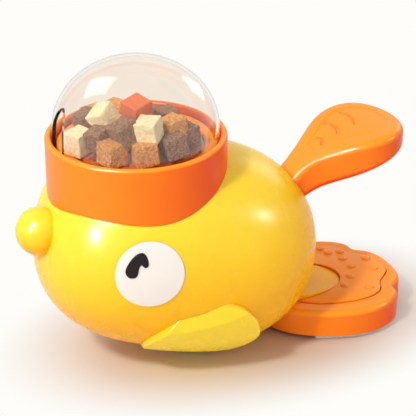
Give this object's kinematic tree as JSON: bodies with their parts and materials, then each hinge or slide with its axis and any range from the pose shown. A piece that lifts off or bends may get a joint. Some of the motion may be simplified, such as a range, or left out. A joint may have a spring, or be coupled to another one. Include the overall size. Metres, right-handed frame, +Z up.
{
  "type": "pet treat dispenser",
  "caption": "Duck-shaped pet treat dispenser: a clear hopper dome on an egg body, a tail paddle that turns a feed disc, and a webbed-foot catch tray.",
  "frame": {"origin": "centre of the footprint's box, on the floor", "axes": "+X from the beak to the tray, +Y to the duck's right side, +Z up"},
  "size_m": [0.268, 0.1486, 0.2015],
  "materials": {
    "body_yellow": "smooth glossy moulded ABS",
    "shell_orange": "smooth glossy moulded ABS",
    "white_plastic": "fine matt moulded acetal",
    "disc_salmon": "satin moulded ABS",
    "eye_white": "smooth glossy moulded ABS",
    "pupil_dark": "smooth glossy moulded ABS",
    "pad_grey": "matt soft rubber",
    "steel": "bright zinc-plated steel",
    "clear_dome": "clear polished moulded polycarbonate",
    "treat_cream": "rough grainy chew",
    "treat_brown": "rough grainy chew",
    "treat_tan": "rough grainy chew",
    "treat_orange": "smooth soft chew"
  },
  "bodies": {
    "body": {"left_shell": "body_yellow", "right_shell": "body_yellow", "collar": "shell_orange", "hopper_floor": "white_plastic", "rack_bracket": "white_plastic", "treat_chute": "white_plastic", "tray": "shell_orange", "tray_pad": "pad_grey", "ramp_tongue": "body_yellow", "belly_pad": "pad_grey", "flipper_left": "body_yellow", "flipper_right": "body_yellow", "eye_left": "eye_white", "eye_right": "eye_white", "pupil_left": "pupil_dark", "pupil_right": "pupil_dark", "pivot_pin": "steel", "return_spring": "steel", "housing_screws": "steel", "collar_screws": "steel", "bracket_screws": "steel", "tray_screws": "steel"},
    "tail": {"tail_paddle": "shell_orange", "drive_lever": "white_plastic", "lever_screws": "steel"},
    "rack": {"feed_rack": "white_plastic"},
    "disc": {"feed_disc": "disc_salmon", "feed_shaft": "steel", "drive_pinion": "white_plastic", "shaft_clip": "steel", "treats_cream": "treat_cream", "treats_brown": "treat_brown", "treats_tan": "treat_tan", "treats_orange": "treat_orange"},
    "dome": {"clear_dome": "clear_dome"}
  },
  "joints": [
    {"name": "paddle_press", "type": "hinge", "parent": "body", "child": "tail", "pos_m": [0.036, 0, 0.0805], "axis": [0, 1, 0], "range_deg": [0, 20], "stiffness_Nm_per_rad": 0.4, "springref_deg": -28.65, "deforming": ["return_spring"]},
    {"name": "rack_slide", "type": "slide", "parent": "body", "child": "rack", "axis": [1, 0, 0], "range_m": [0, 0.00724]},
    {"name": "disc_turn", "type": "hinge", "parent": "body", "child": "disc", "pos_m": [-0.0538, 0, 0.146], "axis": [0, 0, 1], "range_deg": [-51.81, 0]},
    {"name": "dome_lift", "type": "slide", "parent": "body", "child": "dome", "axis": [0, 0, 1], "range_m": [0, 0.1]}
  ],
  "couplings": [
    {"joint": "rack_slide", "follows": "paddle_press", "m_per_rad": 0.02072},
    {"joint": "disc_turn", "follows": "paddle_press", "ratio": -2.59}
  ]
}
